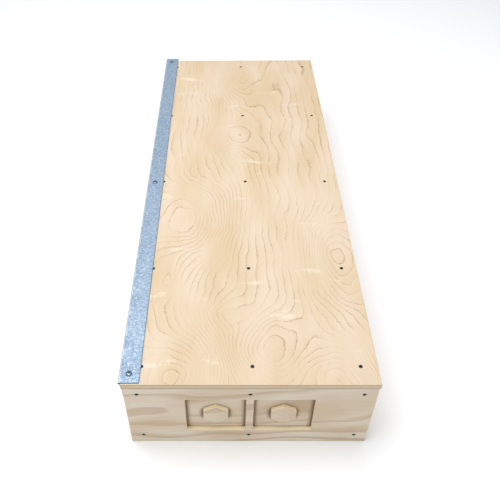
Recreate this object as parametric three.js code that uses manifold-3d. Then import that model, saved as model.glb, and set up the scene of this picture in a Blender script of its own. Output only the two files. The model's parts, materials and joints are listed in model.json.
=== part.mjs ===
// A long, low top bar hive: a flat-sided box of pine and plywood, with loose top bars for the combs
// and a plywood lid that turns on a continuous hinge along its left edge.
//
// Millimetres. X is across the hive, Y runs along it from the front end to the rear, and Z is up.
// The origin is the centre of the underside.
import * as THREE from "three";
import { mergeVertices } from "three/addons/utils/BufferGeometryUtils.js";
import Module from "manifold-3d";

// ---- driving dimensions ----
const LENGTH = 1219; // 48 in, over the two end boards
const BODY_WIDTH = 460;
const LID_WIDTH = 464; // a 2 mm drip edge on each side
const BOARD_HEIGHT = 184; // a 1x8 pine board, 7 1/4 in
const BOARD_THICK = 19;
const PLY = 12; // lid, side walls and floor
const GAP = 0.3; // glue line between two pieces that touch
const OVERRUN = 1; // a cutter passes this far beyond what it cuts

const POST = 25; // corner posts and end rails are cut from one 25 mm batten
const END_RAIL_HEIGHT = 38;
const END_RAIL_TOP = 173;
const LEDGE = { thick: 18, height: 24, top: 148.7 };

const BAR = { length: 432, width: 35, thick: 19, count: 22 }; // 17 in top bars
const GUIDE = { drop: 6, half: 6, root: 1, clear: 6 }; // wedge under each bar, clear of the ledges
const BAR_BOTTOM = LEDGE.top + GAP;

const LID_LIFT = GAP; // the closed lid rests on the walls with this joint line
const LID_BATTEN = { length: 424, width: 38, thick: 10 };
const LID_BATTEN_PLACES = [39, 285, 582, 885, 1175]; // from the front edge of the lid

const WINDOW = { width: 113.5, height: 106, depth: 8.5, corner: 2, mullion: 14, low: 42 };
const WINDOW_SHIFT = 0.5; // the pair of windows sits this far right of centre
const BOSS_RADIUS = 27; // honeycomb cell left standing in each window, centre to corner

const HINGE = {
  start: 3, // front end of the steel, behind the lid's front edge
  length: 1227,
  sheet: 1,
  knuckle: 2.2, // outer radius of the rolled knuckle
  pin: 1.05,
  knuckles: 48,
  slack: 0.3, // end gap between two knuckles
  roll: 285, // degrees of the roll
  rollSteps: 9,
  lidLeaf: 34, // from the lid's edge to the leaf's edge
  clear: 2.1, // from the axis to the lid sheet, whose corner then misses the side knuckles
  lap: 1, // a knuckle's tail runs this far into its own sheet
  neck: 1, // the side sheet ends this far below its knuckles
  joggle: [2, 5], // the side sheet steps in to the wall between these depths under the lid
  sideLeaf: 40, // from the lid's top to the side leaf's lower edge
};
const LID_SCREW_PLACES = [23, 578, 1207]; // from the front edge of the lid
const WALL_SCREW_PLACES = [50, 610, 1170];
const SCREW = { head: 6, rise: 2.4, shank: 1.9, length: 12, sides: 12 }; // truss head, on the hinge
const DOME = [[0.85, 0.6], [0.5, 0.92]]; // shares of the head's radius and rise
const LID_SCREW_INSET = 13.5; // from the lid's edge
const WALL_SCREW_HEIGHT = 168;

const HOLE = { radius: 11.2, height: 62, places: [160, 230, 300] }; // bee entrances, from the front
const PLUGGED = [0, 2];
const PLUG = { radius: 10.9, inside: 4, head: 14, rise: 8, point: 1, edge: 1.5 };
const ROUND = 24; // sides of every round piece in a hole

const FOLLOWER = { thick: 12, side: 3, floor: 3, above: 0.8 };

// ---- places worked out from them ----
const FRONT = -LENGTH / 2;
const REAR = LENGTH / 2;
const INNER_FRONT = FRONT + BOARD_THICK;
const INNER_REAR = REAR - BOARD_THICK;
const WALL_OUT = BODY_WIDTH / 2;
const WALL_IN = WALL_OUT - PLY;
const LID_LOW = BOARD_HEIGHT + LID_LIFT;
const LID_TOP = LID_LOW + PLY;
const LEDGE_IN = WALL_IN - GAP - LEDGE.thick;
const POST_IN = WALL_IN - GAP - POST;
const BARS_FRONT = INNER_FRONT + GAP + POST + GAP;
const BAR_PITCH = BAR.width + GAP;
const FOLLOWER_FRONT = BARS_FRONT + BAR.count * BAR_PITCH + FOLLOWER.above;

const HINGE_TOP = LID_TOP + GAP + HINGE.sheet; // upper face of the lid leaf
const AXIS_X = -LID_WIDTH / 2 - GAP - HINGE.knuckle;
const AXIS_Z = HINGE_TOP - HINGE.knuckle;
const HINGE_FRONT = FRONT + HINGE.start;

// ---- materials ----
const finish = (color, roughness, metalness = 0) =>
  new THREE.MeshStandardMaterial({ color, roughness, metalness });
const MATERIALS = {
  birch: finish(0xead4b4, 0.55),
  pine: finish(0xd0bb9a, 0.6),
  steel: finish(0xb9c6d1, 0.38, 0.9),
  screw: finish(0x9aa4ad, 0.35, 0.9),
  cork: finish(0xb98d5e, 0.85),
};

// ---- shape helpers ----
const wasm = await Module();
wasm.setup();

const degrees = (d) => (d * Math.PI) / 180;

// A plain block between two corners.
function block([x0, x1], [y0, y1], [z0, z1]) {
  return new THREE.BoxGeometry(x1 - x0, y1 - y0, z1 - z0)
    .translate((x0 + x1) / 2, (y0 + y1) / 2, (z0 + z1) / 2);
}

// An outline in X and Z, carried along Y from y0 to y1.
function along(outline, y0, y1) {
  const shape = new THREE.Shape(outline);
  return new THREE.ExtrudeGeometry(shape, { depth: y1 - y0, bevelEnabled: false })
    .rotateX(Math.PI / 2)
    .translate(0, y1, 0);
}

const points = (pairs) => pairs.map(([a, b]) => new THREE.Vector2(a, b));

// A profile of [radius, distance] pairs turned about the axis it points along: up, left or right.
function turned(pairs, way, sides = ROUND) {
  const geometry = new THREE.LatheGeometry(points(pairs), sides);
  if (way === "up") return geometry.rotateX(Math.PI / 2);
  if (way === "left") return geometry.rotateZ(Math.PI / 2);
  if (way === "right") return geometry.rotateZ(-Math.PI / 2);
  return geometry; // along the hive
}

function solid(geometry) {
  const bare = geometry.clone();
  bare.deleteAttribute("normal");
  bare.deleteAttribute("uv");
  const merged = mergeVertices(bare, 1e-4);
  return new wasm.Manifold(new wasm.Mesh({
    numProp: 3,
    vertProperties: new Float32Array(merged.attributes.position.array),
    triVerts: new Uint32Array(merged.index.array),
  }));
}

function geometryOf(made) {
  const mesh = made.getMesh();
  const geometry = new THREE.BufferGeometry();
  geometry.setAttribute("position", new THREE.BufferAttribute(mesh.vertProperties, 3));
  geometry.setIndex(new THREE.BufferAttribute(mesh.triVerts, 1));
  return geometry;
}

const join = (pieces) => geometryOf(pieces.map(solid).reduce((sum, piece) => sum.add(piece)));
const cut = (geometry, cutters) =>
  geometryOf(cutters.map(solid).reduce((rest, cutter) => rest.subtract(cutter), solid(geometry)));

// ---- the group and its pieces ----
const hive = new THREE.Group();

function add(name, geometry, material) {
  const mesh = new THREE.Mesh(geometry, material);
  mesh.name = name;
  hive.add(mesh);
}

// Floor and side walls stand between the two end boards.
function bodyPanels() {
  const between = [INNER_FRONT + GAP, INNER_REAR - GAP];
  add("floor_panel", block([GAP - WALL_IN, WALL_IN - GAP], between, [0, PLY]), MATERIALS.birch);
  const left = block([-WALL_OUT, -WALL_IN], between, [0, BOARD_HEIGHT]);
  const pilots = WALL_SCREW_PLACES.map((place) => onWall(screwHole("left"), place));
  add("side_wall_left", cut(left, pilots), MATERIALS.birch);
  const [from, to] = [-OVERRUN, PLY + OVERRUN];
  const holes = HOLE.places.map((place) =>
    turned([[0, from], [HOLE.radius, from], [HOLE.radius, to], [0, to]], "right")
      .translate(WALL_IN, FRONT + place, HOLE.height));
  const wall = block([WALL_IN, WALL_OUT], between, [0, BOARD_HEIGHT]);
  add("side_wall_right", cut(wall, holes), MATERIALS.birch);
}

// A window outline with slightly round corners, as a round cutter leaves it.
function windowOutline(x0) {
  const { width, height, corner, low } = WINDOW;
  const shape = new THREE.Shape();
  shape.moveTo(x0 + corner, low);
  shape.absarc(x0 + width - corner, low + corner, corner, -Math.PI / 2, 0);
  shape.absarc(x0 + width - corner, low + height - corner, corner, 0, Math.PI / 2);
  shape.absarc(x0 + corner, low + height - corner, corner, Math.PI / 2, Math.PI);
  shape.absarc(x0 + corner, low + corner, corner, Math.PI, 1.5 * Math.PI);
  return shape.getPoints(2);
}

// One honeycomb cell, point up.
function cellOutline(x, z) {
  return Array.from({ length: 6 }, (_, i) => {
    const turn = degrees(60 * i + 30);
    return new THREE.Vector2(x + BOSS_RADIUS * Math.cos(turn), z + BOSS_RADIUS * Math.sin(turn));
  });
}

// The front board has two routed windows either side of a mullion, each with a raised cell.
function endBoards() {
  const across = [-WALL_OUT, WALL_OUT];
  const up = [0, BOARD_HEIGHT];
  const board = block(across, [FRONT, INNER_FRONT], up);
  const inside = FRONT + WINDOW.depth;
  const lefts = [WINDOW_SHIFT - WINDOW.mullion / 2 - WINDOW.width, WINDOW_SHIFT + WINDOW.mullion / 2];
  const pockets = lefts.map((left) => {
    const pocket = along(windowOutline(left), FRONT - OVERRUN, inside);
    const cell = cellOutline(left + WINDOW.width / 2, WINDOW.low + WINDOW.height / 2);
    return cut(pocket, [along(cell, FRONT - 2 * OVERRUN, inside + OVERRUN)]);
  });
  add("end_board_front", cut(board, pockets), MATERIALS.pine);
  add("end_board_rear", block(across, [INNER_REAR, REAR], up), MATERIALS.pine);
}

// Posts in the corners and rails across each end hold the boards' screws.
function endFraming() {
  const ends = { front: [INNER_FRONT + GAP, INNER_FRONT + GAP + POST],
    rear: [INNER_REAR - GAP - POST, INNER_REAR - GAP] };
  const floorTop = PLY + GAP;
  for (const [end, y] of Object.entries(ends)) {
    const up = [floorTop, END_RAIL_TOP];
    add(`corner_post_${end}_left`, block([GAP - WALL_IN, -POST_IN], y, up), MATERIALS.pine);
    add(`corner_post_${end}_right`, block([POST_IN, WALL_IN - GAP], y, up), MATERIALS.pine);
    const across = [GAP - POST_IN, POST_IN - GAP];
    const rail = [END_RAIL_TOP - END_RAIL_HEIGHT, END_RAIL_TOP];
    add(`end_rail_${end}`, block(across, y, rail), MATERIALS.pine);
    add(`floor_rail_${end}`, block(across, y, [floorTop, floorTop + POST]), MATERIALS.pine);
  }
}

// Ledges along both long walls carry the ends of the top bars.
function ledges() {
  const y = [BARS_FRONT, -BARS_FRONT];
  const z = [LEDGE.top - LEDGE.height, LEDGE.top];
  add("bar_ledge_left", block([GAP - WALL_IN, -LEDGE_IN], y, z), MATERIALS.pine);
  add("bar_ledge_right", block([LEDGE_IN, WALL_IN - GAP], y, z), MATERIALS.pine);
}

// A flat bar with a wedge under its middle, from which the bees start a comb.
function topBars() {
  const half = BAR.length / 2;
  const guideHalf = LEDGE_IN - GUIDE.clear;
  for (let i = 0; i < BAR.count; i++) {
    const y = BARS_FRONT + i * BAR_PITCH;
    const flat = block([-half, half], [y, y + BAR.width], [BAR_BOTTOM, BAR_BOTTOM + BAR.thick]);
    const middle = y + BAR.width / 2;
    const wedge = new THREE.ExtrudeGeometry(
      new THREE.Shape(points([[-GUIDE.half, GUIDE.root], [0, -GUIDE.drop], [GUIDE.half, GUIDE.root]])),
      { depth: 2 * guideHalf, bevelEnabled: false })
      .rotateX(Math.PI / 2).rotateZ(Math.PI / 2)
      .translate(-guideHalf, middle, BAR_BOTTOM);
    add(`top_bar_${String(i + 1).padStart(2, "0")}`, join([flat, wedge]), MATERIALS.pine);
  }
}

// The follower hangs from a bar of its own and closes off the part of the hive in use.
function follower() {
  const y0 = FOLLOWER_FRONT;
  const half = BAR.length / 2;
  add("follower_bar",
    block([-half, half], [y0, y0 + BAR.width], [BAR_BOTTOM, BAR_BOTTOM + BAR.thick]), MATERIALS.pine);
  const wide = WALL_IN - FOLLOWER.side;
  const narrow = LEDGE_IN - FOLLOWER.side;
  const low = PLY + FOLLOWER.floor;
  const shoulder = LEDGE.top - LEDGE.height - FOLLOWER.floor;
  const top = BAR_BOTTOM - GAP;
  const outline = points([[-wide, low], [wide, low], [wide, shoulder], [narrow, shoulder],
    [narrow, top], [-narrow, top], [-narrow, shoulder], [-wide, shoulder]]);
  const y = y0 + (BAR.width - FOLLOWER.thick) / 2;
  add("follower_board", along(outline, y, y + FOLLOWER.thick), MATERIALS.birch);
}

// The lid is one sheet stiffened by five battens, which drop just inside the walls.
function lid() {
  const half = LID_WIDTH / 2;
  const sheet = block([-half, half], [FRONT, REAR], [LID_LOW, LID_TOP]);
  const pilots = LID_SCREW_PLACES.map((place) => onLid(screwHole("up"), place));
  add("lid_panel", cut(sheet, pilots), MATERIALS.birch);
  LID_BATTEN_PLACES.forEach((place, i) => {
    const y = FRONT + place;
    const z = [LID_LOW - GAP - LID_BATTEN.thick, LID_LOW - GAP];
    add(`lid_batten_${i + 1}`, block([-LID_BATTEN.length / 2, LID_BATTEN.length / 2],
      [y - LID_BATTEN.width / 2, y + LID_BATTEN.width / 2], z), MATERIALS.pine);
  });
}

// Points on a circle round the hinge axis, from one angle to another in degrees.
function arc(radius, from, to, steps) {
  return Array.from({ length: steps + 1 }, (_, i) => {
    const angle = degrees(from + ((to - from) * i) / steps);
    return new THREE.Vector2(AXIS_X + radius * Math.cos(angle), AXIS_Z + radius * Math.sin(angle));
  });
}

// A knuckle rolled from the leaf's own sheet. It starts at the angle where the sheet meets it as a
// tangent; tail closes the outline back along the leaf.
function knuckleOutline(start, tail) {
  const end = start + HINGE.roll;
  const outer = arc(HINGE.knuckle, start, end, HINGE.rollSteps);
  const inner = arc(HINGE.knuckle - HINGE.sheet, end, start, HINGE.rollSteps);
  return [...outer, ...inner, ...tail];
}

// Two leaves whose knuckles alternate on one pin. The lid leaf lies on the lid; the side leaf
// steps in below the lid's edge to lie on the wall.
function hinge() {
  const { sheet, knuckle, knuckles, slack } = HINGE;
  const pitch = HINGE.length / knuckles;
  const ends = [HINGE_FRONT, HINGE_FRONT + HINGE.length];
  const edge = -LID_WIDTH / 2;
  const start = AXIS_X + HINGE.clear;

  const lidPlate = block([start, edge + HINGE.lidLeaf], ends, [HINGE_TOP - sheet, HINGE_TOP]);
  const lidTail = points([[start + HINGE.lap, HINGE_TOP - sheet], [start + HINGE.lap, HINGE_TOP]]);
  const lidRoll = knuckleOutline(90, lidTail);

  const outerX = AXIS_X + knuckle; // the side leaf meets the roll on its right
  const wallX = -WALL_OUT - GAP;
  const neck = AXIS_Z - knuckle - HINGE.neck;
  const [stepTop, stepFoot] = HINGE.joggle.map((depth) => LID_LOW - depth);
  const low = LID_TOP - HINGE.sideLeaf;
  const sidePlate = along(points([
    [outerX - sheet, neck], [outerX - sheet, stepTop], [wallX - sheet, stepFoot], [wallX - sheet, low],
    [wallX, low], [wallX, stepFoot], [outerX, stepTop], [outerX, neck],
  ]), ...ends);
  const sideTail = points([[outerX - sheet, neck - HINGE.lap], [outerX, neck - HINGE.lap]]);
  const sideRoll = knuckleOutline(0, sideTail);

  const rolls = { lid: [], side: [] };
  for (let i = 0; i < knuckles; i++) {
    const y = ends[0] + i * pitch;
    const owner = i % 2 ? "side" : "lid";
    rolls[owner].push(along(owner === "lid" ? lidRoll : sideRoll, y + slack / 2, y + pitch - slack / 2));
  }
  const lidHoles = LID_SCREW_PLACES.map((place) => onLid(screwHole("up"), place));
  const wallHoles = WALL_SCREW_PLACES.map((place) => onWall(screwHole("left"), place));
  add("hinge_leaf_lid", cut(join([lidPlate, ...rolls.lid]), lidHoles), MATERIALS.steel);
  add("hinge_leaf_side", cut(join([sidePlate, ...rolls.side]), wallHoles), MATERIALS.steel);
  const pin = [[0, 0], [HINGE.pin, 0], [HINGE.pin, HINGE.length], [0, HINGE.length]];
  add("hinge_pin", turned(pin, "along", SCREW.sides).translate(AXIS_X, HINGE_FRONT, AXIS_Z),
    MATERIALS.steel);
}

// A truss-head screw and the hole it needs, both measured from the underside of the head.
function screwShape(way) {
  const { head, rise, shank, length, sides } = SCREW;
  return turned([[0, -length], [shank, 2 * shank - length], [shank, 0], [head, 0],
    ...DOME.map(([out, up]) => [out * head, up * rise]), [0, rise]], way, sides);
}

function screwHole(way) {
  const radius = SCREW.shank + GAP;
  const deep = -SCREW.length - GAP;
  return turned([[0, deep], [radius, deep], [radius, OVERRUN], [0, OVERRUN]], way, SCREW.sides);
}

const onLid = (geometry, place) =>
  geometry.translate(LID_SCREW_INSET - LID_WIDTH / 2, FRONT + place, HINGE_TOP + GAP);
const onWall = (geometry, place) =>
  geometry.translate(-WALL_OUT - 2 * GAP - HINGE.sheet, FRONT + place, WALL_SCREW_HEIGHT);

function hingeScrews() {
  LID_SCREW_PLACES.forEach((place, i) => {
    add(`lid_hinge_screw_${i + 1}`, onLid(screwShape("up"), place), MATERIALS.screw);
  });
  WALL_SCREW_PLACES.forEach((place, i) => {
    add(`wall_hinge_screw_${i + 1}`, onWall(screwShape("left"), place), MATERIALS.screw);
  });
}

// Turned plugs close two of the three entrances; the middle one is left open.
function entrancePlugs() {
  const outside = PLY + 2 * GAP;
  const edge = outside + PLUG.rise;
  const profile = [[0, -PLUG.inside], [PLUG.radius - PLUG.point, -PLUG.inside],
    [PLUG.radius, 0], [PLUG.radius, outside], [PLUG.head, outside], [PLUG.head, edge - PLUG.edge],
    [PLUG.head - PLUG.edge, edge], [0, edge]];
  PLUGGED.forEach((hole, i) => {
    const plug = turned(profile, "right").translate(WALL_IN, FRONT + HOLE.places[hole], HOLE.height);
    add(`entrance_plug_${i + 1}`, plug, MATERIALS.cork);
  });
}

bodyPanels();
endBoards();
endFraming();
ledges();
topBars();
follower();
lid();
hinge();
hingeScrews();
entrancePlugs();

hive.name = "top_bar_hive";
export default hive;
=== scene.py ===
# %% [markdown]
# # A top bar hive with a hinged plywood lid
# The hive is a long shallow box of pine and plywood. Its design, sizes and joints are fixed before
# this lesson starts, and are loaded here as a frame. The lesson gives every board a real arris and
# its own piece of timber, drives the screws, and lights the result like a plain product picture.
# Lengths are in metres: X is across the hive, Y runs from the carved end to the rear, Z is up.

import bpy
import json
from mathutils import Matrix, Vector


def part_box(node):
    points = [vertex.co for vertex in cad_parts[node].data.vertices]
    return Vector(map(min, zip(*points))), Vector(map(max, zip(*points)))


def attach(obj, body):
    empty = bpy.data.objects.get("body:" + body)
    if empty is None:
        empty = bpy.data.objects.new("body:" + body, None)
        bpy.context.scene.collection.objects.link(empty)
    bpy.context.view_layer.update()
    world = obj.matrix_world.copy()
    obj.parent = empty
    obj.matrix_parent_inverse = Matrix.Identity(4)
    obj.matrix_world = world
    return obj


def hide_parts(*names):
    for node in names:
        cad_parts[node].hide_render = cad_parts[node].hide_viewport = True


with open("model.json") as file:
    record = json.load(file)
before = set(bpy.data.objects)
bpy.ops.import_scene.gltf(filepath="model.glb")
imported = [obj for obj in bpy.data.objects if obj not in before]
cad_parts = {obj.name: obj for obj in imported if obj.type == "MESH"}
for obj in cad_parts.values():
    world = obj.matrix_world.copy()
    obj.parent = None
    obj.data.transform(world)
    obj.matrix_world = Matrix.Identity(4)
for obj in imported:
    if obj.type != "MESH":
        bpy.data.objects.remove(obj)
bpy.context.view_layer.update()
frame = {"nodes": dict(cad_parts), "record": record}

# %% The places that everything else is worked out from
import json
import math

import bmesh
import bpy
from mathutils import Euler, Matrix, Vector

MM = 0.001
lid_low, lid_high = (Vector(corner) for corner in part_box("lid_panel"))
front_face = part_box("end_board_front")[0][1]
rear_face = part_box("end_board_rear")[1][1]
lid_corner = Vector((lid_low.x, lid_low.y, lid_high.z))  # front left, on the upper face
print("lid", [round(side / MM) for side in lid_high - lid_low], "mm")

# %% [markdown]
# ## The camera
# The view is down onto the carved end and along the lid. A camera in Blender looks along its
# own -Z, so it starts level with a quarter turn about X, and the tilt, heading and roll are then
# taken from there. A small lens shift frames the hive without changing its perspective.

# %% Camera
CAMERA_FROM_CORNER = Vector((0.1891, -0.6072, 0.9306))
TILT_DOWN, HEADING, ROLL = (math.radians(angle) for angle in (42.13, 0.55, -0.46))

camera_data = bpy.data.cameras.new("camera")
camera_data.lens = 43.8
camera_data.shift_x = 0.056
camera_data.shift_y = -0.05
camera = bpy.data.objects.new("camera", camera_data)
camera.location = lid_corner + CAMERA_FROM_CORNER
level_turn = Euler((math.pi / 2 - TILT_DOWN, 0, HEADING)).to_matrix()
camera.rotation_euler = (level_turn @ Matrix.Rotation(ROLL, 3, "Z")).to_euler()
bpy.context.scene.collection.objects.link(camera)
bpy.context.scene.camera = camera
print("camera at", [round(c, 3) for c in camera.location])

# %% [markdown]
# ## Light and floor
# Bare wood shows its grain best in broad, soft light. A pale world fills the shadows, and one very
# large lamp almost overhead makes the lid brighter than the upright boards and puts a thin shadow
# under each upper edge, which in the carved board's pockets is painted shade. The floor is plain and almost
# white.

# %% Light and floor
FLOOR_SIZE = 12.0
FLOOR_SHADE = (0.96, 0.96, 0.96, 1)
WORLD_COLOUR = (0.93, 0.96, 1.0, 1)
WORLD_STRENGTH = 0.6
world = bpy.data.worlds.new("studio")
world.use_nodes = True
world.node_tree.nodes["Background"].inputs["Color"].default_value = WORLD_COLOUR
world.node_tree.nodes["Background"].inputs["Strength"].default_value = WORLD_STRENGTH
bpy.context.scene.world = world
bpy.context.scene.view_settings.view_transform = "Standard"


def softbox(name, place, aim, size, power):
    """A large square lamp at a place, turned to face a point."""
    lamp = bpy.data.lights.new(name, "AREA")
    lamp.size = size
    lamp.energy = power
    holder = bpy.data.objects.new(name, lamp)
    holder.location = place
    holder.rotation_euler = (Vector(aim) - Vector(place)).to_track_quat("-Z", "Y").to_euler()
    bpy.context.scene.collection.objects.link(holder)
    return holder


KEY_PLACE = (-0.5, -0.15, 2.8)
KEY_SIZE = 2.6
KEY_POWER = 76
key = softbox("key", KEY_PLACE, (0, 0, 0.1), KEY_SIZE, KEY_POWER)
print("key lamp", key.data.energy, "W")

bpy.ops.mesh.primitive_plane_add(size=FLOOR_SIZE, location=(0, 0, 0))
floor = bpy.context.object
floor.name = "floor"
floor_material = bpy.data.materials.new("pale floor")
floor_material.use_nodes = True
floor_shader = floor_material.node_tree.nodes["Principled BSDF"]
floor_shader.inputs["Base Color"].default_value = FLOOR_SHADE
floor_shader.inputs["Roughness"].default_value = 0.9
floor.data.materials.append(floor_material)

# %% [markdown]
# ## Writing node trees in code
# Every finish below is a small network of shader nodes. A few helpers keep the cells short: they
# add a node and fill its sockets, do arithmetic, mix colours, and open a node group with named
# sockets. A value passed to a socket may be a number or another node's output.

# %% Helpers for node trees
def node(tree, kind, sockets=None, **settings):
    """Adds a node, sets its options, and fills its sockets with numbers or with links."""
    made = tree.nodes.new(kind)
    for option, value in settings.items():
        setattr(made, option, value)
    for name, value in (sockets or {}).items():
        if isinstance(value, bpy.types.NodeSocket):
            tree.links.new(value, made.inputs[name])
        else:
            made.inputs[name].default_value = value
    return made


def calc(tree, operation, *values, clamp=False):
    """One Math node; returns its output."""
    sockets = dict(enumerate(values))
    return node(tree, "ShaderNodeMath", sockets, operation=operation, use_clamp=clamp).outputs[0]


def vector(tree, operation, *values):
    """One Vector Math node; returns its vector, or its value for a length or a dot product."""
    made = node(tree, "ShaderNodeVectorMath", dict(enumerate(values)), operation=operation)
    single = operation in ("LENGTH", "DOT_PRODUCT", "DISTANCE")
    return made.outputs["Value" if single else "Vector"]


def smooth(tree, value, start, end, low=0.0, high=1.0):
    """Eases a value from low to high between start and end."""
    sockets = {"Value": value, "From Min": start, "From Max": end, "To Min": low, "To Max": high}
    made = node(tree, "ShaderNodeMapRange", sockets, interpolation_type="SMOOTHSTEP")
    return made.outputs["Result"]


def blend(tree, amount, one, other, mode="MIX"):
    """Mixes two colours; returns the colour."""
    made = node(tree, "ShaderNodeMix", data_type="RGBA", blend_type=mode, clamp_factor=True)
    for socket, value in zip((made.inputs[0], made.inputs[6], made.inputs[7]), (amount, one, other)):
        if isinstance(value, bpy.types.NodeSocket):
            tree.links.new(value, socket)
        else:
            socket.default_value = value
    return made.outputs[2]


def noise(tree, where, scale, detail=2.0, rough=0.5):
    """Smooth random values from 0 to 1, centred on a half."""
    sockets = {"Vector": where, "Scale": scale, "Detail": detail, "Roughness": rough}
    return node(tree, "ShaderNodeTexNoise", sockets).outputs[0]


SOCKETS = {"value": "NodeSocketFloat", "vector": "NodeSocketVector", "colour": "NodeSocketColor"}


def open_group(name, inputs, outputs):
    """A shader node group with named sockets; returns the tree, its inputs and its output node."""
    tree = bpy.data.node_groups.new(name, "ShaderNodeTree")
    for title, kind in inputs.items():
        tree.interface.new_socket(title, in_out="INPUT", socket_type=SOCKETS[kind])
    for title, kind in outputs.items():
        tree.interface.new_socket(title, in_out="OUTPUT", socket_type=SOCKETS[kind])
    start = tree.nodes.new("NodeGroupInput")
    end = tree.nodes.new("NodeGroupOutput")
    return tree, start.outputs, end


def place_group(tree, group, **sockets):
    """Puts a node group into a material; underscores in names stand for spaces."""
    named = {name.replace("_", " "): value for name, value in sockets.items()}
    return node(tree, "ShaderNodeGroup", named, node_tree=group)


def finish_group(tree, end, **outputs):
    for name, value in outputs.items():
        tree.links.new(value, end.inputs[name.replace("_", " ")])


def colour(red, green, blue):
    """An sRGB colour from 0 to 255, as the linear colour that a shader wants."""
    linear = [((c / 255 + 0.055) / 1.055) ** 2.4 for c in (red, green, blue)]
    return (*linear, 1.0)


print("helpers ready")

# %% [markdown]
# ## Fibres: a group for every kind of wood
# All wood shows fine streaks along its fibres. The pattern is noise squeezed hard across the grain
# and stretched along it. The group expects the grain along X, so each board's material turns its
# coordinates first. It is used by the pine, the veneers and the turned plugs.

# %% Fibre group
def fibre_group():
    tree, start, end = open_group("Wood fibres", {"Vector": "vector", "Fineness": "value"},
                                  {"Streaks": "value", "Height": "value"})
    long_grain = vector(tree, "MULTIPLY", start["Vector"], (0.03, 1.0, 1.0))
    coarse = noise(tree, long_grain, start["Fineness"], 3.0, 0.6)
    pores = noise(tree, vector(tree, "MULTIPLY", long_grain, (2.0, 3.0, 3.0)), start["Fineness"], 2.0)
    streaks = calc(tree, "MULTIPLY_ADD", pores, 0.35, calc(tree, "MULTIPLY", coarse, 0.65))
    finish_group(tree, end, Streaks=streaks, Height=pores)
    return tree


FIBRES = fibre_group()
print("group:", FIBRES.name)

# %% [markdown]
# ## Growth rings: a group for sawn timber
# A sawn board is cut from a log, so its figure is solid: rings round a pith line that runs along
# the grain, often outside the board. The distance from that line, bent a little by noise, is
# counted in rings, and each ring darkens slowly towards its late wood and then ends sharply. Faces
# then show lines or cathedrals and ends show arcs, with nothing painted by hand.

# %% Growth ring group
def ring_group():
    tree, start, end = open_group(
        "Growth rings",
        {"Vector": "vector", "Pith": "vector", "Spacing": "value", "Wander": "value", "Sweep": "value"},
        {"Latewood": "value", "Tone": "value"})
    stretch = node(tree, "ShaderNodeCombineXYZ", {"X": start["Sweep"], "Y": 1.0, "Z": 1.0}).outputs[0]
    slow = vector(tree, "MULTIPLY", start["Vector"], stretch)
    bend = calc(tree, "MULTIPLY", calc(tree, "SUBTRACT", noise(tree, slow, 9.0, 2.0), 0.5), start["Wander"])
    from_pith = vector(tree, "SUBTRACT", start["Vector"], start["Pith"])
    across = vector(tree, "MULTIPLY", from_pith, (0.0, 1.0, 1.0))
    radius = calc(tree, "ADD", vector(tree, "LENGTH", across), bend)
    rings = calc(tree, "DIVIDE", radius, start["Spacing"])
    phase = calc(tree, "FRACT", rings)
    rise = smooth(tree, phase, 0.5, 0.92)
    drop = smooth(tree, phase, 0.93, 1.0, 1.0, 0.0)
    ring_number = node(tree, "ShaderNodeCombineXYZ", {"X": calc(tree, "FLOOR", rings)}).outputs[0]
    year = noise(tree, ring_number, 3.7, 0.0)
    late = calc(tree, "MULTIPLY", calc(tree, "MULTIPLY", rise, drop), smooth(tree, year, 0.3, 0.7, 0.35, 1.0))
    finish_group(tree, end, Latewood=late, Tone=noise(tree, slow, 14.0, 2.0))
    return tree


RINGS = ring_group()
print("group:", RINGS.name)

# %% [markdown]
# ## Arris: a group that finds a board's edges
# Near its edges a board's colour changes: the wood turns paler or warmer, and the hinge's zinc takes a
# painted shade. For a box, a point's distances to the nearest pair of faces along X, Y and Z are easy
# to work out. On a face one of them is nearly nothing, and the middle one of the three is then the
# distance to the nearest edge.

# %% Arris group
def arris_group():
    tree, start, end = open_group(
        "Arris", {"Vector": "vector", "Centre": "vector", "Half": "vector", "Reach": "value"},
        {"Edge": "value"})
    centred = vector(tree, "ABSOLUTE", vector(tree, "SUBTRACT", start["Vector"], start["Centre"]))
    inside = vector(tree, "SUBTRACT", start["Half"], centred)
    x, y, z = node(tree, "ShaderNodeSeparateXYZ", {"Vector": inside}).outputs
    least = calc(tree, "MINIMUM", x, y)
    most = calc(tree, "MAXIMUM", x, y)
    middle = calc(tree, "MAXIMUM", least, calc(tree, "MINIMUM", most, z))
    ragged = calc(tree, "MULTIPLY_ADD", noise(tree, start["Vector"], 55.0, 3.0), 1.2, 0.4)
    share = calc(tree, "DIVIDE", middle, calc(tree, "MULTIPLY", start["Reach"], ragged))
    finish_group(tree, end, Edge=smooth(tree, share, 0.0, 1.0, 1.0, 0.0))
    return tree


ARRIS = arris_group()
print("group:", ARRIS.name)

# %% [markdown]
# ## Pine
# The end boards, posts, rails, ledges, battens and top bars are planed pine. Each gets its own copy
# of one material, cut from its own place along a log, so no two match. A board's grain runs along its
# longest side, and a Mapping node turns that side onto X, which is where the groups expect it.

# %% Pine material
TURN_ONTO_X = {"X": (0, 0, 0), "Y": (0, 0, -math.pi / 2), "Z": (0, math.pi / 2, 0)}
PINE_PALE = colour(225, 211, 191)
PINE_LATE = colour(176, 148, 112)
PINE_WARM = colour(206, 182, 148)
PINE_FRESH_AND_LIT = colour(255, 236, 198)
PINE_SHADE = colour(112, 90, 66)
ROUTED_MARGIN = 0.008
POCKET_START = 0.004
SHADE_REACH = 0.015  # a painted contact shade, this deep, under the pockets' upper edges
PINE_END = colour(208, 182, 146)


def box_of(name):
    low, high = (Vector(corner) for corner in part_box(name))
    return (low + high) / 2, (high - low) / 2


def longest_axis(half):
    return "XYZ"[max(range(3), key=lambda i: half[i])]


def start_material(name):
    """A new material with its node tree, shader and object coordinates."""
    material = bpy.data.materials.new(name)
    material.use_nodes = True
    tree = material.node_tree
    place = node(tree, "ShaderNodeTexCoord")
    return material, tree, tree.nodes["Principled BSDF"], place.outputs["Object"], place.outputs["Normal"]


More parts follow.
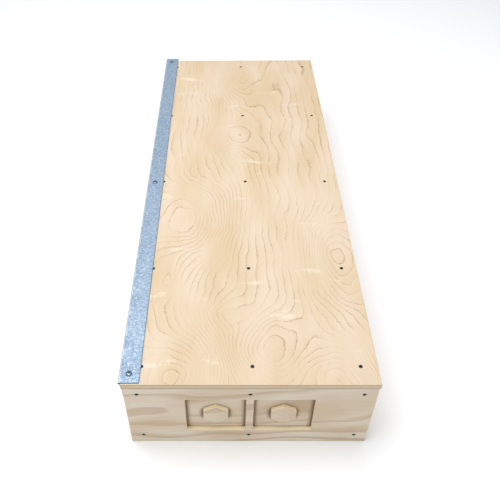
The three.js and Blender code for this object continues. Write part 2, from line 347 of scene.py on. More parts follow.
def routed_mask(tree, offset, normal, half):
    """One on the side walls of the pockets cut into a board's front, which are painted paler: their fresh-cut
    wood, and a painted highlight.
    """
    x, y, z = node(tree, "ShaderNodeSeparateXYZ", {"Vector": vector(tree, "ABSOLUTE", offset)}).outputs
    facing = node(tree, "ShaderNodeSeparateXYZ", {"Vector": normal}).outputs
    sideways = smooth(tree, calc(tree, "ABSOLUTE", facing[1]), 0.3, 0.5, 1.0, 0.0)
    inside = calc(tree, "MULTIPLY", calc(tree, "LESS_THAN", x, half.x - ROUTED_MARGIN),
                  calc(tree, "LESS_THAN", z, half.z - ROUTED_MARGIN))
    return calc(tree, "MULTIPLY", sideways, inside)


def pine(name, centre, half, pith, spacing=0.0034, late=0.55, wander=0.012, warm=0.5,
         sweep=0.16, lean=0.0, age=0.0, along_log=0.0, routed=False):
    """Planed pine for one board; pith is the log's centre line, measured from the board's centre."""
    material, tree, shader, place, normal = start_material(name)
    turn = TURN_ONTO_X[longest_axis(half)]
    offset = vector(tree, "SUBTRACT", place, tuple(centre))
    leaning = (turn[0], turn[1] + lean, turn[2])
    grain = node(tree, "ShaderNodeMapping", {"Vector": offset, "Rotation": leaning}).outputs[0]
    facing = node(tree, "ShaderNodeMapping", {"Vector": normal, "Rotation": turn}).outputs[0]
    end_grain = smooth(tree, calc(tree, "ABSOLUTE", node(
        tree, "ShaderNodeSeparateXYZ", {"Vector": facing}).outputs[0]), 0.6, 0.8)
    shifted = vector(tree, "ADD", grain, (pith[0] * 3.1 + along_log, 0.0, 0.0))
    rings = place_group(tree, RINGS, Vector=shifted, Pith=(0.0, pith[0], pith[1]), Spacing=spacing,
                        Wander=wander, Sweep=sweep)
    fibres = place_group(tree, FIBRES, Vector=shifted, Fineness=420.0)
    edge = place_group(tree, ARRIS, Vector=place, Centre=tuple(centre), Half=tuple(half), Reach=0.004)
    base = blend(tree, smooth(tree, rings.outputs["Tone"], 0.35, 0.7, age, age + warm), PINE_PALE, PINE_WARM)
    lined = blend(tree, calc(tree, "MULTIPLY", rings.outputs["Latewood"], late), base, PINE_LATE)
    streak = smooth(tree, fibres.outputs["Streaks"], 0.3, 0.7, 0.93, 1.05)
    tinted = blend(tree, 1.0, lined, node(tree, "ShaderNodeCombineXYZ", {
        "X": streak, "Y": streak, "Z": streak}).outputs[0], "MULTIPLY")
    ended = blend(tree, calc(tree, "MULTIPLY", end_grain, 0.7), tinted, PINE_END, "MULTIPLY")
    toned = blend(tree, calc(tree, "MULTIPLY", edge.outputs["Edge"], 0.35), ended, colour(226, 212, 190))
    if routed:
        # Painted shade on the pocket floor, under the pockets' upper edges and the carved bosses
        upwards = node(tree, "ShaderNodeCombineXYZ", {"Y": -0.75, "Z": 0.66}).outputs[0]
        above = node(tree, "ShaderNodeAmbientOcclusion", {"Distance": SHADE_REACH, "Normal": upwards},
                     only_local=True, samples=16)
        inward = node(tree, "ShaderNodeSeparateXYZ", {"Vector": offset}).outputs[1]
        in_pocket = calc(tree, "GREATER_THAN", inward, POCKET_START - half.y)
        shaded = calc(tree, "MULTIPLY", smooth(tree, above.outputs["AO"], 0.66, 0.95, 0.95, 0.0), in_pocket)
        toned = blend(tree, shaded, toned, PINE_SHADE)
        # A painted highlight on the pocket walls, over their paler fresh-cut wood
        fresh_and_lit = calc(tree, "MULTIPLY", routed_mask(tree, offset, normal, half), 0.95)
        toned = blend(tree, fresh_and_lit, toned, PINE_FRESH_AND_LIT)
    tree.links.new(toned, shader.inputs["Base Color"])
    tree.links.new(smooth(tree, rings.outputs["Latewood"], 0.0, 1.0, 0.62, 0.5), shader.inputs["Roughness"])
    height = calc(tree, "MULTIPLY_ADD", fibres.outputs["Height"], 0.6, rings.outputs["Latewood"])
    bump = node(tree, "ShaderNodeBump", {"Height": height, "Strength": 0.35, "Distance": 0.00025})
    tree.links.new(bump.outputs[0], shader.inputs["Normal"])
    shader.inputs["Specular IOR Level"].default_value = 0.35
    return material


print("pine ready")

# %% [markdown]
# ## Plywood
# The lid, walls and floor are birch plywood. Its face veneer is peeled from a turning log, so the
# knife runs almost along the growth rings and the figure is a map: contour lines round every bump
# in the log. A smooth field gives the height of that map, its whole numbers become thin lines, and
# the tone drifts between them. The edge of a sheet shows the crossed veneers as stripes.

# %% Veneer group
def veneer_group():
    tree, start, end = open_group(
        "Peeled veneer", {"Vector": "vector", "Field": "value", "Ripple": "value"},
        {"Line": "value", "Glow": "value", "Tone": "value", "Fleck": "value"})
    along = vector(tree, "MULTIPLY", start["Vector"], (0.28, 1.0, 1.0))
    broad = calc(tree, "SUBTRACT", noise(tree, along, 7.0, 2.0, 0.5), 0.5)
    small = calc(tree, "SUBTRACT", noise(tree, along, 46.0, 3.0, 0.6), 0.5)
    field = calc(tree, "MULTIPLY_ADD", broad, calc(tree, "MULTIPLY", start["Ripple"], 9.0), start["Field"])
    field = calc(tree, "MULTIPLY_ADD", small, calc(tree, "MULTIPLY", start["Ripple"], 1.7), field)
    feather = calc(tree, "SUBTRACT", noise(tree, start["Vector"], 190.0, 2.0, 0.6), 0.5)
    field = calc(tree, "MULTIPLY_ADD", feather, 0.35, field)
    phase = calc(tree, "FRACT", field)
    core = smooth(tree, phase, 0.0, 0.14, 1.0, 0.0)
    lead = smooth(tree, phase, 0.95, 1.0)
    halo = smooth(tree, phase, 0.0, 0.5, 0.12, 0.0)
    line = calc(tree, "MAXIMUM", calc(tree, "MAXIMUM", core, lead), halo)
    strength = noise(tree, vector(tree, "MULTIPLY", start["Vector"], (0.7, 1.0, 1.0)), 13.0, 3.0)
    faded = calc(tree, "MULTIPLY", line, smooth(tree, strength, 0.38, 0.64, 0.12, 1.0))
    glow = calc(tree, "MULTIPLY", smooth(tree, phase, 0.6, 0.88), smooth(tree, phase, 0.9, 0.96, 1.0, 0.0))
    # Pale patches across the grain: the figure's chatoyant sheen, painted into the colour
    crossways = vector(tree, "MULTIPLY", start["Vector"], (26.0, 9.0, 9.0))
    fringe = noise(tree, start["Vector"], 150.0, 2.0)
    ragged = calc(tree, "MULTIPLY_ADD", fringe, 0.2, noise(tree, crossways, 1.0, 3.0))
    sheen_patch = smooth(tree, ragged, 0.74, 0.84)
    finish_group(tree, end, Line=faded, Glow=glow, Tone=noise(tree, along, 12.0, 3.0), Fleck=sheen_patch)
    return tree


VENEER = veneer_group()
print("group:", VENEER.name)

# %% [markdown]
# The lid's figure is part of its character, so its map has hills of its own on a steady slope. The
# slope gives the lines that run up the sheet, and each hill bends them or closes them into an eye.
# The place is first pushed about by slow noise, because no eye in real timber is round.

# %% Plywood material
BIRCH_PALE = colour(217, 198, 174)
BIRCH_WARM = colour(208, 184, 150)
BIRCH_LINE = colour(166, 134, 94)
BIRCH_SHEEN = colour(238, 226, 208)
PLY_DARK = colour(190, 164, 130)
PLY_SKIN_SHADE = colour(150, 118, 82)
PLY_LIGHT = colour(224, 210, 186)
VENEER_THICK = 0.0017
WALL_SLOPE = 60.0
VENEER_RIPPLE = 0.42
LID_SLOPE = 50.0  # contour lines in each metre across the lid
LID_PUSH = 0.05
LID_HILLS = [  # across, along, spread across, spread along, lines; from the front left corner
    (0.225, 1.300, 0.075, 0.330, 13.0),
    (0.205, 0.775, 0.045, 0.080, 5.5),
    (0.110, 0.440, 0.085, 0.120, -9.0),
    (0.420, 0.320, 0.060, 0.130, 8.0),
    (0.265, 0.080, 0.070, 0.075, 7.0),
    (0.110, 0.020, 0.070, 0.080, -9.0),
    (0.400, -0.010, 0.070, 0.090, -8.0),
    (0.180, 0.165, 0.040, 0.035, 3.0),
    (0.070, 0.250, 0.022, 0.045, -2.5),
]


def hills(tree, place, corner):
    """The lid's map at a place, in contour lines: a slope, and the sum of its hills."""
    push = node(tree, "ShaderNodeTexNoise", {"Vector": place, "Scale": 7.0, "Detail": 2.0}).outputs["Color"]
    centred = vector(tree, "SUBTRACT", push, (0.5, 0.5, 0.5))
    pushed = vector(tree, "ADD", place, vector(tree, "MULTIPLY", centred, (LID_PUSH, 2 * LID_PUSH, 0.0)))
    across = node(tree, "ShaderNodeSeparateXYZ", {"Vector": pushed}).outputs["X"]
    total = calc(tree, "MULTIPLY", across, LID_SLOPE)
    for x, y, spread_x, spread_y, lines in LID_HILLS:
        top = (corner.x + x, corner.y + y, 0.0)
        from_top = vector(tree, "SUBTRACT", pushed, top)
        away = vector(tree, "MULTIPLY", from_top, (1 / spread_x, 1 / spread_y, 0.0))
        fall = calc(tree, "EXPONENT", calc(tree, "MULTIPLY", vector(tree, "DOT_PRODUCT", away, away), -1.0))
        total = calc(tree, "MULTIPLY_ADD", fall, lines, total)
    return total


def plywood(name, centre, half, with_hills=False):
    """Birch plywood for one panel; its thickness is its shortest side and its grain its longest."""
    material, tree, shader, place, normal = start_material(name)
    turn = TURN_ONTO_X[longest_axis(half)]
    thick = min(range(3), key=lambda i: half[i])
    offset = vector(tree, "SUBTRACT", place, tuple(centre))
    grain = node(tree, "ShaderNodeMapping", {"Vector": offset, "Rotation": turn}).outputs[0]
    depth = node(tree, "ShaderNodeSeparateXYZ", {"Vector": offset}).outputs[thick]
    facing = node(tree, "ShaderNodeSeparateXYZ", {"Vector": normal}).outputs[thick]
    on_face = smooth(tree, calc(tree, "ABSOLUTE", facing), 0.6, 0.8)

    flat = thick == 2
    across = node(tree, "ShaderNodeSeparateXYZ", {"Vector": grain}).outputs["Y" if flat else "Z"]
    slope = calc(tree, "MULTIPLY", across, WALL_SLOPE)
    field = hills(tree, place, lid_corner) if with_hills else slope
    veneer = place_group(tree, VENEER, Vector=grain, Field=field, Ripple=VENEER_RIPPLE)
    fibres = place_group(tree, FIBRES, Vector=grain, Fineness=620.0)
    base = blend(tree, smooth(tree, veneer.outputs["Tone"], 0.3, 0.7), BIRCH_PALE, BIRCH_WARM)
    lit = blend(tree, calc(tree, "MULTIPLY", veneer.outputs["Glow"], 0.06), base, BIRCH_SHEEN)
    lined = blend(tree, calc(tree, "MULTIPLY", veneer.outputs["Line"], 0.7), lit, BIRCH_LINE)
    # The figure's sheen, painted
    sheened = blend(tree, calc(tree, "MULTIPLY", veneer.outputs["Fleck"], 0.45), lined, BIRCH_SHEEN)
    streak = smooth(tree, fibres.outputs["Streaks"], 0.3, 0.7, 0.965, 1.02)
    grey = node(tree, "ShaderNodeCombineXYZ", {"X": streak, "Y": streak, "Z": streak}).outputs[0]
    face = blend(tree, 1.0, sheened, grey, "MULTIPLY")

    layer = calc(tree, "PINGPONG", calc(tree, "ADD", depth, VENEER_THICK / 2), VENEER_THICK)
    stripe = smooth(tree, layer, 0.2 * VENEER_THICK, 0.5 * VENEER_THICK)
    sides = blend(tree, stripe, PLY_DARK, PLY_LIGHT)
    sides = blend(tree, smooth(tree, fibres.outputs["Streaks"], 0.35, 0.65, 0.0, 0.3), sides, PLY_DARK)
    # Dark brown at both face veneers on a sheet's edge: painted shade at the top arris and in the gap under
    # the sheet, over the veneers' own darker colour
    to_face = calc(tree, "SUBTRACT", half[thick], calc(tree, "ABSOLUTE", depth))
    skin_shade = smooth(tree, to_face, VENEER_THICK, 1.3 * VENEER_THICK, 0.85, 0.0)
    sides = blend(tree, skin_shade, sides, PLY_SKIN_SHADE)
    both = blend(tree, on_face, sides, face)
    edge = place_group(tree, ARRIS, Vector=place, Centre=tuple(centre), Half=tuple(half), Reach=0.005)
    toned = blend(tree, calc(tree, "MULTIPLY", edge.outputs["Edge"], 0.4), both, BIRCH_WARM)
    tree.links.new(toned, shader.inputs["Base Color"])
    tree.links.new(smooth(tree, veneer.outputs["Tone"], 0.3, 0.7, 0.5, 0.6), shader.inputs["Roughness"])
    height = calc(tree, "MULTIPLY_ADD", fibres.outputs["Height"], 0.5, calc(tree, "MULTIPLY", on_face, 0.5))
    bump = node(tree, "ShaderNodeBump", {"Height": height, "Strength": 0.2, "Distance": 0.0002})
    tree.links.new(bump.outputs[0], shader.inputs["Normal"])
    shader.inputs["Specular IOR Level"].default_value = 0.3
    return material


print("plywood ready")

# %% [markdown]
# ## Boards with real arrises and countersinks
# The design's boards are loose triangles with knife-sharp edges. A finished board starts from a
# copy of one: its doubled points are merged, flat triangles are dissolved into whole faces, and every
# sharp edge gets a narrow chamfer that catches the light. Holes for the screws are cut after that.
# The copy then stands for the design's board.

# %% Board builder
CHAMFER = 0.0008
BAR_CHAMFER = 0.0016  # loose bars are handled most, so their edges are taken off further
COPLANAR = math.radians(0.5)
SHARP = math.radians(35)


def copy_of_node(name, title):
    """A clean, welded copy of a node's mesh as a new object."""
    mesh = frame["nodes"][name].data.copy()
    mesh.materials.clear()
    shape = bmesh.new()
    shape.from_mesh(mesh)
    bmesh.ops.remove_doubles(shape, verts=shape.verts, dist=1e-6)
    bmesh.ops.dissolve_limit(shape, angle_limit=COPLANAR, verts=shape.verts, edges=shape.edges)
    shape.to_mesh(mesh)
    shape.free()
    piece = bpy.data.objects.new(title, mesh)
    bpy.context.scene.collection.objects.link(piece)
    return piece


def apply_modifiers(piece):
    """Bakes a piece's modifiers into its own mesh."""
    graph = bpy.context.evaluated_depsgraph_get()
    baked = bpy.data.meshes.new_from_object(piece.evaluated_get(graph))
    piece.modifiers.clear()
    piece.data = baked
    return piece


def chamfer(piece, width=CHAMFER):
    bevel = piece.modifiers.new("arris", "BEVEL")
    bevel.width = width
    bevel.segments = 2
    bevel.limit_method = "ANGLE"
    bevel.angle_limit = SHARP
    return apply_modifiers(piece)


def body_holding(name):
    return next(body for body, names in frame["record"]["behaviour"]["bodies"].items() if name in names)


def finish_piece(piece, names, material):
    """Gives a piece its finish, and lets it ride with and stand for one or more nodes."""
    piece.data.materials.clear()
    piece.data.materials.append(material)
    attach(piece, body_holding(names[0]))
    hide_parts(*names)


SLOTS = {row["node"]: row["material_slot"] for row in frame["record"]["subparts"]}
print("board builder ready")


# %% [markdown]
# ## Screws
# A hive is held together by plain countersunk screws, so one screw is made with care and Geometry
# Nodes drives it everywhere. A screw is a profile turned about its axis, with a cross recess cut
# into the head. A second, slightly larger profile has the shape of the hole that the screw needs.

# %% One screw, and the cutter for its hole
HEAD_RADIUS = 0.0036
HEAD_DEPTH = 0.0027
SHANK_RADIUS = 0.0015
HOLE_EASE = 0.0002
SCREW_SIDES = 24
HEAD_SUNK = 0.0005  # the head's face lies this far under the wood
HEAD_LIP = 0.0002  # the straight rim of the head
HEAD_CROSS = (0.0019, 0.0008, 0.0015)  # half width, arm width, depth
THREAD_PITCH = 0.0016
THREAD_ROOT = 0.65 * SHANK_RADIUS
THREAD_START = 0.002  # plain shank under the head
THREAD_SPARE = 0.005  # plain shank and point together
HOLE_ABOVE = 0.002  # the cutter stands this far out of the wood
HOLE_BELOW = 0.0005


def turned(title, profile, sides=SCREW_SIDES):
    """A closed shape from [radius, height] pairs, turned about Z; it starts and ends on the axis."""
    shape = bmesh.new()
    rows = []
    for radius, height in profile:
        count = sides if radius else 1
        turns = [math.tau * i / count for i in range(count)]
        rows.append([shape.verts.new((radius * math.cos(t), radius * math.sin(t), height)) for t in turns])
    for one, other in zip(rows, rows[1:]):
        for i in range(sides):
            ring = [(one, i), (one, i + 1), (other, i + 1), (other, i)]
            corners = dict.fromkeys(row[k % len(row)] for row, k in ring)
            shape.faces.new(list(corners))
    bmesh.ops.recalc_face_normals(shape, faces=shape.faces)
    mesh = bpy.data.meshes.new(title)
    shape.to_mesh(mesh)
    shape.free()
    piece = bpy.data.objects.new(title, mesh)
    bpy.context.scene.collection.objects.link(piece)
    return piece


def carve(piece, cutter):
    """Cuts one object out of another."""
    cut = piece.modifiers.new("cut", "BOOLEAN")
    cut.operation = "DIFFERENCE"
    cut.solver = "EXACT"
    cut.object = cutter
    return apply_modifiers(piece)


CROSS_TAPER = (0.45, 0.7)  # how far a recess narrows towards its bottom, along X and along Y


def cross_cutter(wing, width, depth, top):
    """A cross of two tapered bars, which leaves a driver's recess in a head."""
    shape = bmesh.new()
    for half_x, half_y in ((wing, width / 2), (width / 2, wing)):
        bar = bmesh.ops.create_cube(shape, size=2.0)["verts"]
        for vert in bar:
            low = vert.co.z < 0
            taper_x, taper_y = CROSS_TAPER if low else (1.0, 1.0)
            height = top - depth if low else top + depth
            vert.co = Vector((vert.co.x * half_x * taper_x, vert.co.y * half_y * taper_y, height))
    mesh = bpy.data.meshes.new("cross")
    shape.to_mesh(mesh)
    shape.free()
    piece = bpy.data.objects.new("cross", mesh)
    bpy.context.scene.collection.objects.link(piece)
    union = piece.modifiers.new("self", "BOOLEAN")
    union.solver = "EXACT"
    union.use_self = True
    union.object = turned("seed", [(0, top - depth), (width / 3, top - depth / 2), (0, top)], 8)
    union.operation = "UNION"
    seed = union.object
    apply_modifiers(piece)
    bpy.data.objects.remove(seed)
    return piece


def wood_screw(length):
    """A countersunk screw with its head just under the origin, threaded down to its point."""
    top = -HEAD_SUNK
    profile = [(0, top), (HEAD_RADIUS, top), (HEAD_RADIUS, top - HEAD_LIP), (SHANK_RADIUS, top - HEAD_DEPTH)]
    turns = int((length - HEAD_DEPTH - THREAD_SPARE) / THREAD_PITCH)
    for i in range(turns):
        height = top - HEAD_DEPTH - THREAD_START - i * THREAD_PITCH
        profile += [(THREAD_ROOT, height), (SHANK_RADIUS, height - THREAD_PITCH / 2)]
    profile += [(0, top - length)]
    screw = turned("screw", profile)
    cross = cross_cutter(*HEAD_CROSS, top)
    carve(screw, cross)
    bpy.data.objects.remove(cross)
    return screw


def hole_cutter(length):
    """The shape of a screw's hole, a little wider and deeper than the screw."""
    head = HEAD_RADIUS + HOLE_EASE
    shank = SHANK_RADIUS + HOLE_EASE
    rim = -HEAD_SUNK - HEAD_LIP
    tip = -HEAD_SUNK - length
    profile = [(0, HOLE_ABOVE), (head, HOLE_ABOVE), (head, rim), (shank, rim - HEAD_DEPTH),
               (shank, tip - HOLE_BELOW), (0, tip - 2 * HOLE_BELOW)]
    return turned("hole", profile)


print("screw ready")

# %% [markdown]
# ## Driving the screws with Geometry Nodes
# The tree puts one copy of an object on every point of a mesh, turns it to face the way that the
# point's "outward" attribute says, and gives each a small turn of its own, since nobody leaves two
# recesses aligned. It ends by making the copies real and setting their material.

# %% The tree, and a function that runs it
def driving_tree():
    tree = bpy.data.node_groups.new("Drive screws", "GeometryNodeTree")
    for title, kind in (("Points", "NodeSocketGeometry"), ("Screw", "NodeSocketObject"),
                        ("Finish", "NodeSocketMaterial"), ("Size", "NodeSocketFloat"),
                        ("Seed", "NodeSocketInt")):
        tree.interface.new_socket(title, in_out="INPUT", socket_type=kind)
    tree.interface.new_socket("Screws", in_out="OUTPUT", socket_type="NodeSocketGeometry")
    start = tree.nodes.new("NodeGroupInput").outputs
    end = tree.nodes.new("NodeGroupOutput")
    screw = node(tree, "GeometryNodeObjectInfo", {"Object": start["Screw"], "As Instance": True})
    facing = node(tree, "GeometryNodeInputNamedAttribute", {"Name": "outward"}, data_type="FLOAT_VECTOR")
    aimed = node(tree, "FunctionNodeAlignRotationToVector", {"Vector": facing.outputs["Attribute"]}, axis="Z")
    spin = node(tree, "FunctionNodeRandomValue", {"Seed": start["Seed"]}, data_type="FLOAT")
    spin.inputs[2].default_value = 0.0
    spin.inputs[3].default_value = math.pi / 2
    about = node(tree, "ShaderNodeCombineXYZ", {"Z": spin.outputs[1]})
    twist = node(tree, "FunctionNodeEulerToRotation", {"Euler": about.outputs[0]})
    both = {"Rotation": aimed.outputs[0], "Rotate By": twist.outputs[0]}
    turn = node(tree, "FunctionNodeRotateRotation", both, rotation_space="LOCAL")
    placed = node(tree, "GeometryNodeInstanceOnPoints", {
        "Points": start["Points"], "Instance": screw.outputs["Geometry"], "Rotation": turn.outputs[0],
        "Scale": start["Size"]})
    real = node(tree, "GeometryNodeRealizeInstances", {"Geometry": placed.outputs[0]})
    finished = {"Geometry": real.outputs[0], "Material": start["Finish"]}
    painted = node(tree, "GeometryNodeSetMaterial", finished)
    tree.links.new(painted.outputs[0], end.inputs[0])
    return tree


DRIVE = driving_tree()
SOCKET_IDS = {item.name: item.identifier for item in DRIVE.interface.items_tree if item.in_out == "INPUT"}


def drive(title, template, places, finish, size=1.0, seed=3):
    """One mesh with a copy of the template at each place; places are (point, outward) pairs."""
    mesh = bpy.data.meshes.new(title)
    mesh.from_pydata([point for point, _ in places], [], [])
    outward = mesh.attributes.new("outward", "FLOAT_VECTOR", "POINT")
    for row, (_, way) in zip(outward.data, places):
        row.vector = way
    piece = bpy.data.objects.new(title, mesh)
    bpy.context.scene.collection.objects.link(piece)
    modifier = piece.modifiers.new("drive", "NODES")
    modifier.node_group = DRIVE
    modifier[SOCKET_IDS["Screw"]] = template
    modifier[SOCKET_IDS["Finish"]] = finish
    modifier[SOCKET_IDS["Size"]] = size
    modifier[SOCKET_IDS["Seed"]] = seed
    return apply_modifiers(piece)


print("inputs:", list(SOCKET_IDS))

# %% [markdown]
# ## Where the screws go
# Every screw goes through one board into the middle of the next, so its place is worked out from
# the boxes of the two: lid into battens, end boards into posts and rails, walls into posts, ledges
# and the floor's edge, and the follower's bar into the follower board.

# %% Screw places
UP, FRONT_WAY, BACK_WAY = (0, 0, 1), (0, -1, 0), (0, 1, 0)
LID_SCREW_INSETS = (0.0345, 0.236, 0.432)  # from the lid's left edge; the leaf half covers the first
BATTENS = [f"lid_batten_{i}" for i in range(1, 6)]
TOP_SCREW_DROP = 0.0075  # below the top of the end rails
POST_SCREW_HEIGHTS = (0.04, 0.105)
WALL_SPACING = 5  # screws along each ledge and along each edge of the floor
FOLLOWER_SCREWS = (-0.12, 0.12)


def middle(name):
    return box_of(name)[0]


lid_places = [((lid_low.x + inset, middle(name).y, lid_high.z), UP)
              for name in BATTENS for inset in LID_SCREW_INSETS]

hive_places = []
for end, face, way in (("front", front_face, FRONT_WAY), ("rear", rear_face, BACK_WAY)):
    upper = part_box(f"end_rail_{end}")[1][2] - TOP_SCREW_DROP
    lower = middle(f"floor_rail_{end}").z
    columns = [middle(f"corner_post_{end}_left").x, 0.0, middle(f"corner_post_{end}_right").x]
    hive_places += [((x, face, z), way) for x in columns for z in (upper, lower)]

left_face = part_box("side_wall_left")[0][0]
right_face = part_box("side_wall_right")[1][0]
for face, way, side in ((left_face, (-1, 0, 0), "left"), (right_face, (1, 0, 0), "right")):
    for end in ("front", "rear"):
        post = middle(f"corner_post_{end}_{side}")
        hive_places += [((face, post.y, z), way) for z in POST_SCREW_HEIGHTS]
    ledge_low, ledge_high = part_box(f"bar_ledge_{side}")
    for i in range(WALL_SPACING):
        share = (i + 0.5) / WALL_SPACING
        along = ledge_low[1] + share * (ledge_high[1] - ledge_low[1])
        hive_places.append(((face, along, middle(f"bar_ledge_{side}").z), way))
        hive_places.append(((face, along, middle("floor_panel").z), way))

bar_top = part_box("follower_bar")[1][2]
follower_places = [((x, middle("follower_board").y, bar_top), UP) for x in FOLLOWER_SCREWS]
print(len(lid_places), len(hive_places), len(follower_places), "screws")

# %% [markdown]
# ## Metal
# The wood screws are dark steel with paler patches, and the hinge's heads are paler. The hinge is
# meant to look dipped in zinc, which freezes into crystals of many sizes, the spangle. Cells of a
# Voronoi texture are those crystals: each gets its own shade, and the shade also sets how rough it
# is. A rough metal picks up the whole studio as a soft grey, so most of the pattern has to come from
# the shade of the cells.

# %% Spangle group and metals
ZINC_DARK = colour(130, 152, 174)
ZINC_MIDDLE = colour(164, 182, 200)
ZINC_PALE = colour(202, 215, 226)
ZINC_EDGE_SHADE = colour(74, 92, 116)
ZINC_END_SHADE = colour(36, 42, 52)
KNUCKLE_WIDTH = 0.0044
SCREW_DARK = colour(28, 32, 40)
SCREW_PALE = colour(70, 78, 92)
HEAD_DARK = colour(74, 88, 108)
HEAD_PALE = colour(146, 160, 178)


def spangle_group():
    tree, start, end = open_group(
        "Zinc spangle", {"Vector": "vector", "Crystals": "value"},
        {"Shade": "value", "Fine": "value", "Bright": "value"})
    warp = node(tree, "ShaderNodeTexNoise", {"Vector": start["Vector"], "Scale": 90.0}).outputs["Color"]
    warped = vector(tree, "ADD", start["Vector"], vector(tree, "MULTIPLY", warp, (0.006, 0.006, 0.006)))
    cells = node(tree, "ShaderNodeTexVoronoi", {"Vector": warped, "Scale": start["Crystals"]})
    shade = node(tree, "ShaderNodeSeparateColor", {"Color": cells.outputs["Color"]}).outputs[0]
    patch = noise(tree, start["Vector"], 22.0, 3.0)
    fine = noise(tree, start["Vector"], 520.0, 2.0, 0.6)
    mixed = calc(tree, "MULTIPLY_ADD", patch, 0.45, calc(tree, "MULTIPLY", shade, 0.55))
    finish_group(tree, end, Shade=mixed, Fine=fine, Bright=smooth(tree, shade, 0.82, 0.96))
    return tree


SPANGLE = spangle_group()


def zinc(name, centre, half):
    """Spangled zinc on one leaf of the hinge, with painted shade along its edges and on its end faces, and a
    painted highlight along its knuckle.
    """
    material, tree, shader, place, normal = start_material(name)
    x = node(tree, "ShaderNodeSeparateXYZ", {"Vector": place}).outputs["X"]
    # A painted highlight along the knuckle, where the rolled barrel catches the light
    knuckle_band = smooth(tree, calc(tree, "SUBTRACT", x, centre.x - half.x), KNUCKLE_WIDTH, 0.8 * KNUCKLE_WIDTH)
    end_face = calc(tree, "ABSOLUTE", node(tree, "ShaderNodeSeparateXYZ", {"Vector": normal}).outputs[1])
    spangle = place_group(tree, SPANGLE, Vector=place, Crystals=340.0)
    edge = place_group(tree, ARRIS, Vector=place, Centre=tuple(centre), Half=tuple(half), Reach=0.0022)
    shade = smooth(tree, spangle.outputs["Shade"], 0.1, 0.9)
    base = blend(tree, shade, ZINC_DARK, ZINC_MIDDLE)
    lit = blend(tree, calc(tree, "MULTIPLY", spangle.outputs["Bright"], 0.4), base, ZINC_PALE)
    grained = blend(tree, smooth(tree, spangle.outputs["Fine"], 0.5, 0.75, 0.0, 0.5), lit, ZINC_PALE)
    # Painted shade along the leaf's edges
    edge_shaded = blend(tree, calc(tree, "MULTIPLY", edge.outputs["Edge"], 0.8), grained, ZINC_EDGE_SHADE)
    knuckle_highlit = blend(tree, calc(tree, "MULTIPLY", knuckle_band, 0.55), edge_shaded, ZINC_PALE)
    # Painted shade on the end faces: the knuckle's dark hollow and the gap at the sheet's end
    ended = blend(tree, smooth(tree, end_face, 0.5, 0.8), knuckle_highlit, ZINC_END_SHADE)
    tree.links.new(ended, shader.inputs["Base Color"])
    tree.links.new(smooth(tree, shade, 0.0, 1.0, 0.62, 0.45), shader.inputs["Roughness"])
    bump = node(tree, "ShaderNodeBump", {"Height": shade, "Strength": 0.25, "Distance": 0.0002})
    tree.links.new(bump.outputs[0], shader.inputs["Normal"])
    shader.inputs["Metallic"].default_value = 0.55
    return material


def screw_metal(name, dark, pale, roughness):
    material, tree, shader, place, _ = start_material(name)
    spangle = place_group(tree, SPANGLE, Vector=place, Crystals=900.0)
    toned = smooth(tree, spangle.outputs["Fine"], 0.35, 0.7)
    tree.links.new(blend(tree, toned, dark, pale), shader.inputs["Base Color"])
    tree.links.new(smooth(tree, spangle.outputs["Shade"], 0.3, 0.7, roughness, roughness + 0.15),
                   shader.inputs["Roughness"])
    shader.inputs["Metallic"].default_value = 0.9
    return material


WOOD_SCREW_METAL = screw_metal("oiled screw", SCREW_DARK, SCREW_PALE, 0.35)
HINGE_SCREW_METAL = screw_metal("plated head", HEAD_DARK, HEAD_PALE, 0.25)
print("metals ready")

# %% [markdown]
# ## Finish the boards
# Every board is copied, chamfered and bored for the screws that pass through it. A board is bored
# only if a screw's line meets its box, which saves most of the cutting. Each pine board but the
# carved one takes the next pith in a short list, and is cut from further along its log, so the list
# can repeat.

# %% Chamfer, bore and finish every board
SCREW_LENGTHS = {"lid": 0.020, "hive_box": 0.028, "follower": 0.030}  # none comes out of the far board
SCREW_PLACES = {"lid": lid_places, "hive_box": hive_places, "follower": follower_places}
WARMTHS = [0.2, 0.75, 0.4, 0.1, 0.6]
LOG_STEP = 1.7  # metres; each board is cut this much further along its log
PITHS = [(0.06, -0.03), (-0.09, 0.05), (0.03, 0.08), (-0.05, -0.11), (0.14, 0.02), (-0.02, 0.06)]


def meets(name, place, way, length):
    """Whether a screw's line passes through a node's box."""
    low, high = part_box(name)
    tip = [p - w * length for p, w in zip(place, way)]
    near = [min(a, b) for a, b in zip(place, tip)]
    far = [max(a, b) for a, b in zip(place, tip)]
    return all(n <= h + MM / 2 and f >= l - MM / 2 for n, f, l, h in zip(near, far, low, high))


def board_material(count, name, centre, half):
    if name == "end_board_front":
        return pine(name + "_pine", centre, half, (0.060, 0.024), 0.0230, 0.62, 0.080, 0.7,
                    sweep=0.36, lean=0.06, routed=True)
    if SLOTS[name] == "pine":
        warmth = WARMTHS[count % len(WARMTHS)]
        return pine(name + "_pine", centre, half, PITHS[count % len(PITHS)], warm=warmth, age=warmth / 3,
                    along_log=count * LOG_STEP)
    return plywood(name + "_ply", centre, half, with_hills=name == "lid_panel")


templates = {body: hole_cutter(length) for body, length in SCREW_LENGTHS.items()}
boards = sorted(name for name, slot in SLOTS.items() if slot in ("pine", "birch_ply"))
bored = 0
for count, name in enumerate(boards):
    centre, half = box_of(name)
    body = body_holding(name)
    piece = chamfer(copy_of_node(name, name + "_finished"), BAR_CHAMFER if "_bar" in name else CHAMFER)
    length = SCREW_LENGTHS[body]
    near = [(place, way) for place, way in SCREW_PLACES[body] if meets(name, place, way, length)]
    if near:
        cutter = drive("holes", templates[body], near, None)
        carve(piece, cutter)
        bpy.data.objects.remove(cutter)
        bored += 1
    finish_piece(piece, [name], board_material(count, name, centre, half))
for template in templates.values():
    bpy.data.objects.remove(template)
print(len(boards), "boards finished,", bored, "bored")

